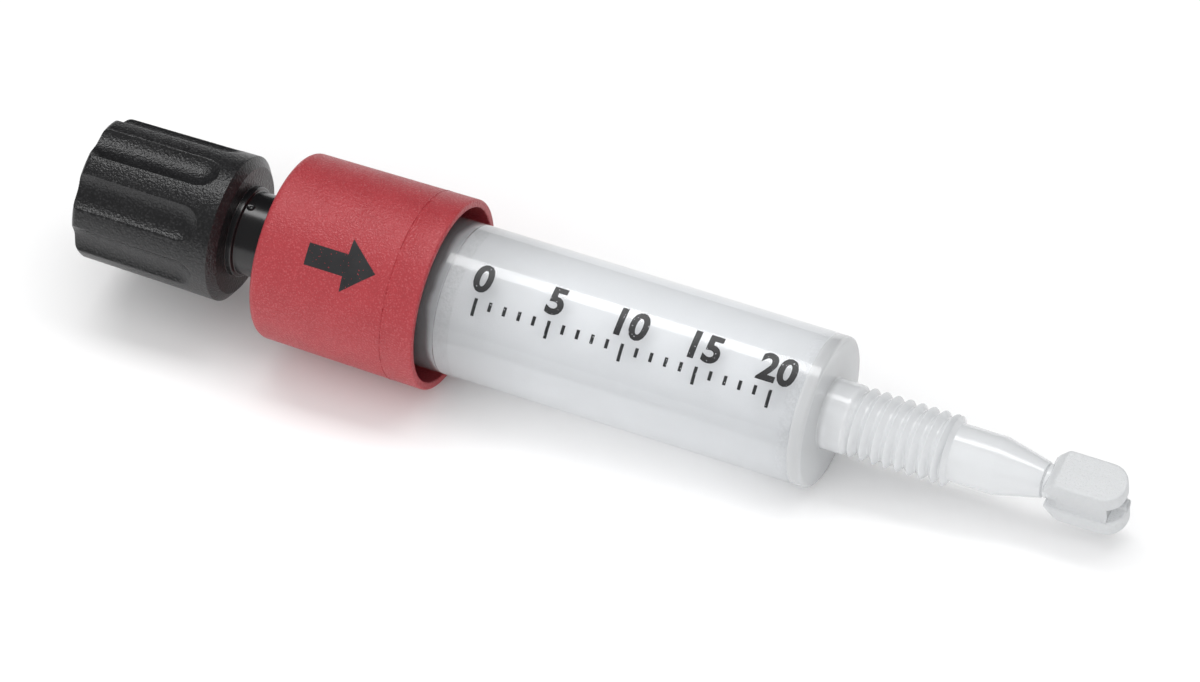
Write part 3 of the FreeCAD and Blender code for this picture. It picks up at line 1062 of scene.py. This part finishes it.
class COLUMN_OT_add_print(bpy.types.Operator):
    """Print a millimetre scale on the barrel and an arrow for the flow on the collar"""

    bl_idname = "column.add_print"
    bl_label = "Printed scale and arrow"

    def execute(self, context):
        sizes = context.scene.column_sizes
        ink = pad_ink()
        shapes = []
        for mark in range(0, 21):
            x = (3.2 + mark) * MM
            tall = 1.15 if mark % 5 == 0 else 0.6
            tick = ((-0.11, 0.0), (0.11, 0.0), (0.11, -tall), (-0.11, -tall))
            shapes.append((tick, x, 0.0, MM))
            if mark % 5 == 0:
                shapes.append((str(mark), x, 1.25 * MM, 2.5 * MM))
        bm = flat_marks(shapes)
        wrapped(bm, lambda x: sizes.barrel, math.radians(37.0))
        piece_from(bm, "barrel_scale", ink, "column")
        arrow = (
            (2.4, 0.0), (0.3, 1.75), (0.3, 0.72), (-2.4, 0.72), (-2.4, -0.72), (0.3, -0.72), (0.3, -1.75),
        )
        bm = flat_marks([(arrow, -5.6 * MM, 0.0, MM)])
        draft = 0.15 * MM
        wrapped(bm, lambda x: sizes.collar + draft * x / sizes.collar_length, math.radians(42.0))
        piece_from(bm, "collar_arrow", ink, "column")
        return {"FINISHED"}


# Stage

class COLUMN_OT_add_stage(bpy.types.Operator):
    """Set the bench, the softbox, the room light and the camera"""

    bl_idname = "column.add_stage"
    bl_label = "Bench, light and camera"

    def execute(self, context):
        stage = context.scene.column_stage
        colours = context.scene.column_colours
        place = column_placement()
        add_bench(colours.bench)
        add_light(stage)
        add_camera(stage, place)
        context.scene.view_settings.view_transform = "Standard"
        return {"FINISHED"}


def add_bench(colour):
    """Pale bench top with a very slight tone over its surface."""
    bm = bmesh.new()
    bmesh.ops.create_grid(bm, x_segments=8, y_segments=8, size=1.5)
    bench = object_from(bm, "bench")
    material, tree, shader, place = new_material("Pale bench")
    tone = add_node(tree, "ShaderNodeTexNoise", (-1000, 100))
    set_inputs(tone, Scale=7.0, Detail=1.0)
    tree.links.new(place, tone.inputs["Vector"])
    base = mix_colours(tree, tone.outputs["Fac"], shade_of(colour, 0.99), colour, (-600, 200))
    rough = math_node(tree, "MULTIPLY_ADD", tone.outputs["Fac"], 0.2, (-600, 0), 0.65)
    tree.links.new(base, shader.inputs["Base Color"])
    tree.links.new(rough, shader.inputs["Roughness"])
    set_inputs(shader, Specular_IOR_Level=0.2)
    bench.data.materials.append(material)


def add_light(stage):
    """Long softbox a little behind the zenith, and the white room round it.

    The room is darker low behind the column, and dimmer in reflections.
    """
    room = bpy.data.worlds.new("Room")
    bpy.context.scene.world = room
    room.use_nodes = True
    tree = room.node_tree
    toward = add_node(tree, "ShaderNodeTexCoord", (-1200, 0))
    parts = add_node(tree, "ShaderNodeSeparateXYZ", (-1000, 0))
    tree.links.new(toward.outputs["Generated"], parts.inputs["Vector"])
    behind = ramp(tree, parts.outputs["Y"], -0.1, 0.45, (-750, 150), "SMOOTHSTEP")
    low = ramp(tree, parts.outputs["Z"], 0.97, 0.75, (-750, -150), "SMOOTHSTEP")
    dim = math_node(tree, "MULTIPLY", behind, low, (-500, 0))
    strength = add_node(tree, "ShaderNodeMapRange", (-250, 0))
    set_inputs(strength, To_Min=stage.room_light, To_Max=stage.room_back)
    tree.links.new(dim, strength.inputs["Value"])
    light_path = add_node(tree, "ShaderNodeLightPath", (-500, -300))
    through = light_path.outputs["Is Transmission Ray"]
    outside = math_node(tree, "SUBTRACT", 1.0, through, (-400, -500))
    glossy = math_node(tree, "MULTIPLY", light_path.outputs["Is Glossy Ray"], outside, (-300, -400))
    less = stage.room_mirrored - 1.0
    mirrored = math_node(tree, "MULTIPLY_ADD", glossy, less, (-150, -300), 1.0)
    shown = math_node(tree, "MULTIPLY", strength.outputs["Result"], mirrored, (0, 0))
    tree.nodes["Background"].inputs["Color"].default_value = (1.0, 1.0, 1.0, 1.0)
    tree.links.new(shown, tree.nodes["Background"].inputs["Strength"])
    light = bpy.data.lights.new("softbox", "AREA")
    light.shape = "RECTANGLE"
    light.size = 0.80
    light.size_y = 0.17
    light.energy = stage.softbox_power
    softbox = bpy.data.objects.new("softbox", light)
    bpy.context.scene.collection.objects.link(softbox)
    lean = Matrix.Rotation(math.radians(-13.0), 4, "X")
    softbox.matrix_world = lean @ Matrix.Translation((0.0, 0.0, 0.6))
    softbox.visible_glossy = False
    bm = bmesh.new()
    bmesh.ops.create_grid(bm, x_segments=1, y_segments=1, size=0.5)
    face = object_from(bm, "softbox_face")
    face.matrix_world = softbox.matrix_world @ Matrix.Diagonal((light.size, light.size_y, 1.0, 1.0))
    material, _, shader, _ = new_material("Softbox face")
    set_inputs(shader, Base_Color=(0.0, 0.0, 0.0, 1.0), Emission_Color=(1.0, 1.0, 1.0, 1.0))
    set_inputs(shader, Emission_Strength=stage.softbox_face)
    face.data.materials.append(material)
    face.visible_camera = False
    face.visible_diffuse = False
    face.visible_transmission = False
    face.visible_shadow = False


def add_camera(stage, place):
    """Long lens from the outlet's side, at the photograph's angle."""
    along = (place.to_3x3() @ Vector((1.0, 0.0, 0.0))).normalized()
    up = (place.to_3x3() @ Vector((0.0, 0.0, 1.0))).normalized()
    near = -(place.to_3x3() @ Vector((0.0, 1.0, 0.0))).normalized()
    round_axis = near * math.cos(stage.above) + up * math.sin(stage.above)
    back = along * math.sin(stage.toward) + round_axis * math.cos(stage.toward)
    level = (along - back * along.dot(back)).normalized()
    rise = back.cross(level)
    right = level * math.cos(stage.slant) + rise * math.sin(stage.slant)
    top = rise * math.cos(stage.slant) - level * math.sin(stage.slant)
    lens = bpy.data.cameras.new("camera")
    lens.lens = stage.lens
    lens.sensor_width = 36.0
    lens.clip_start = 0.01
    lens.clip_end = 20.0
    camera = bpy.data.objects.new("camera", lens)
    bpy.context.scene.collection.objects.link(camera)
    target = place @ Vector((stage.aim, 0.0, 0.0))
    turned = Matrix((right, top, back)).transposed().to_4x4()
    camera.matrix_world = Matrix.Translation(target + back * stage.camera_distance) @ turned
    bpy.context.scene.camera = camera


class COLUMN_PT_pieces(bpy.types.Panel):
    """Lists the sizes, the colours and the operators of the column"""

    bl_idname = "COLUMN_PT_pieces"
    bl_label = "Chromatography column"
    bl_space_type = "VIEW_3D"
    bl_region_type = "UI"
    bl_category = "Column"

    def draw(self, context):
        layout = self.layout
        for owner, _ in GROUPS:
            group = getattr(context.scene, owner)
            box = layout.box()
            for name in group.bl_rna.properties.keys():
                if name not in ("rna_type", "name"):
                    box.prop(group, name)
        for operator in OPERATORS:
            layout.operator(operator.bl_idname)


OPERATORS = (
    COLUMN_OT_add_packing,
    COLUMN_OT_add_barrel,
    COLUMN_OT_add_collar,
    COLUMN_OT_add_stopper,
    COLUMN_OT_add_print,
    COLUMN_OT_add_stage,
)
GROUPS = (
    ("column_sizes", ColumnSizes),
    ("column_colours", ColumnColours),
    ("column_stage", ColumnStage),
)


def register():
    for name, group in GROUPS:
        bpy.utils.register_class(group)
        setattr(bpy.types.Scene, name, bpy.props.PointerProperty(type=group))
    for item in (*OPERATORS, COLUMN_PT_pieces):
        bpy.utils.register_class(item)


def unregister():
    for item in (COLUMN_PT_pieces, *reversed(OPERATORS)):
        bpy.utils.unregister_class(item)
    for name, group in reversed(GROUPS):
        delattr(bpy.types.Scene, name)
        bpy.utils.unregister_class(group)


def main():
    register()
    bpy.ops.column.add_packing()
    bpy.ops.column.add_barrel()
    bpy.ops.column.add_collar()
    bpy.ops.column.add_stopper()
    bpy.ops.column.add_print()
    bpy.ops.column.add_stage()


if __name__ == "__main__":
    main()
